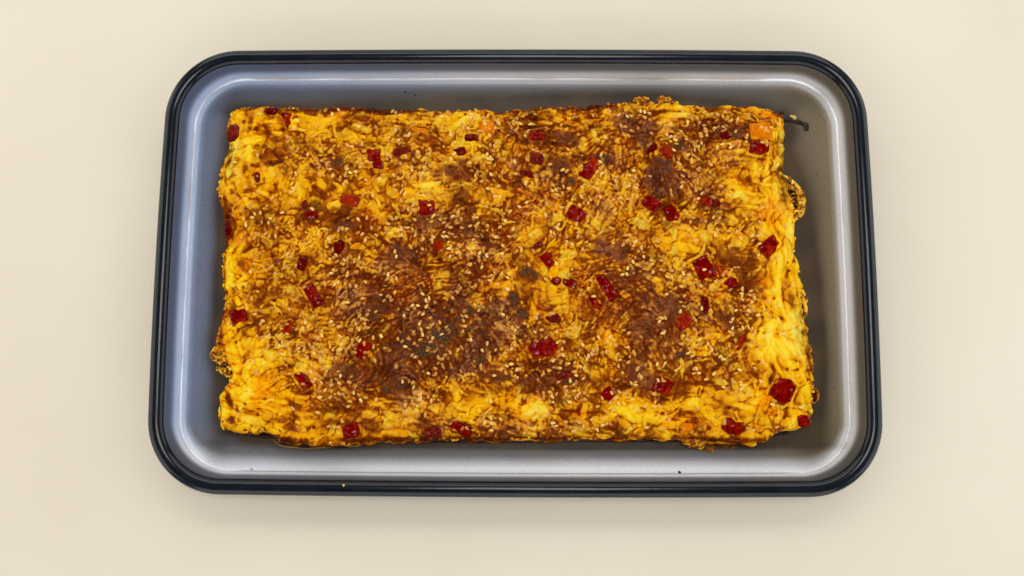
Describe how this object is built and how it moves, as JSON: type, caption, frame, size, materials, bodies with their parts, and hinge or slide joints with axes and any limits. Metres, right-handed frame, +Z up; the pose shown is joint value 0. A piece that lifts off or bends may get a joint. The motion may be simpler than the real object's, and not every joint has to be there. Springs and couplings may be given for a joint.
{
  "type": "dish of vegetable pie",
  "caption": "Slab of baked vegetable pie with diced pepper and sesame seeds, lying in its own shallow non-stick baking tin.",
  "frame": {"origin": "on the surface the tin stands on, under the middle of the tin", "axes": "+X along the tin to the right, +Y across it away from the viewer, +Z up"},
  "size_m": [0.4216, 0.2646, 0.022],
  "materials": {
    "coated_tin": "grey non-stick coating inside, glossy near-black rolled rim and outside",
    "baked_pie": "baked egg and shredded vegetables, yellow to browned, glossy with oil",
    "red_pepper": "roasted red pepper, wet and glossy",
    "orange_pepper": "roasted orange pepper, wet and glossy"
  },
  "bodies": {
    "root": {"tin": "coated_tin", "pie": "baked_pie", "red_pepper_01": "red_pepper", "red_pepper_02": "red_pepper", "red_pepper_03": "red_pepper", "red_pepper_04": "red_pepper", "red_pepper_05": "red_pepper", "red_pepper_06": "red_pepper", "red_pepper_07": "red_pepper", "red_pepper_08": "red_pepper", "red_pepper_09": "red_pepper", "red_pepper_10": "red_pepper", "red_pepper_11": "red_pepper", "red_pepper_12": "red_pepper", "red_pepper_13": "red_pepper", "red_pepper_14": "red_pepper", "red_pepper_15": "red_pepper", "red_pepper_16": "red_pepper", "red_pepper_17": "red_pepper", "red_pepper_18": "red_pepper", "red_pepper_19": "red_pepper", "red_pepper_20": "red_pepper", "red_pepper_21": "red_pepper", "red_pepper_22": "red_pepper", "red_pepper_23": "red_pepper", "red_pepper_24": "red_pepper", "red_pepper_25": "red_pepper", "red_pepper_26": "red_pepper", "red_pepper_27": "red_pepper", "red_pepper_28": "red_pepper", "red_pepper_29": "red_pepper", "red_pepper_30": "red_pepper", "red_pepper_31": "red_pepper", "red_pepper_32": "red_pepper", "red_pepper_33": "red_pepper", "red_pepper_34": "red_pepper", "red_pepper_35": "red_pepper", "red_pepper_36": "red_pepper", "red_pepper_37": "red_pepper", "red_pepper_38": "red_pepper", "red_pepper_39": "red_pepper", "red_pepper_40": "red_pepper", "red_pepper_41": "red_pepper", "red_pepper_42": "red_pepper", "red_pepper_43": "red_pepper", "red_pepper_44": "red_pepper", "red_pepper_45": "red_pepper", "red_pepper_46": "red_pepper", "red_pepper_47": "red_pepper", "orange_pepper_01": "orange_pepper", "orange_pepper_02": "orange_pepper"}
  },
  "joints": []
}
